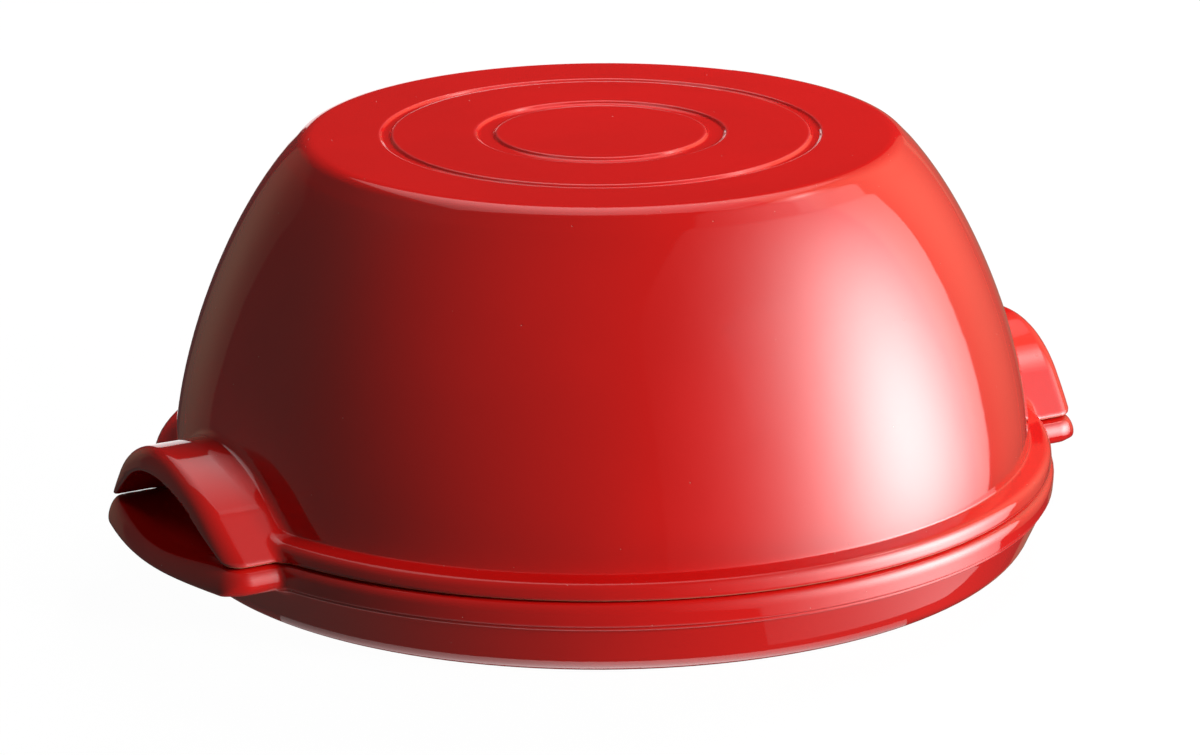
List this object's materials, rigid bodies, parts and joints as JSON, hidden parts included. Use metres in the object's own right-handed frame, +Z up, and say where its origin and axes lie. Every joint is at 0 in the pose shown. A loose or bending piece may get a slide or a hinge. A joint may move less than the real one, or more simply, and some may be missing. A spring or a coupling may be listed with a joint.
{
  "type": "ceramic bread baker",
  "caption": "Round glazed ceramic bread baker: a shallow dish with finger tabs under a tall, flat-topped domed lid with arched handles, which lifts off; bakes a loaf in an oven.",
  "frame": {"origin": "on the table under the middle of the base", "axes": "+X through the middle of one pair of handles, +Y along the table, +Z up"},
  "size_m": [0.3296, 0.2964, 0.1353],
  "materials": {
    "red_glaze": "high gloss"
  },
  "bodies": {
    "base": {"base": "red_glaze"},
    "lid": {"lid": "red_glaze"}
  },
  "joints": [
    {"name": "lid_lift", "type": "slide", "parent": "base", "child": "lid", "axis": [0, 0, 1], "range_m": [0, 0.16]}
  ]
}
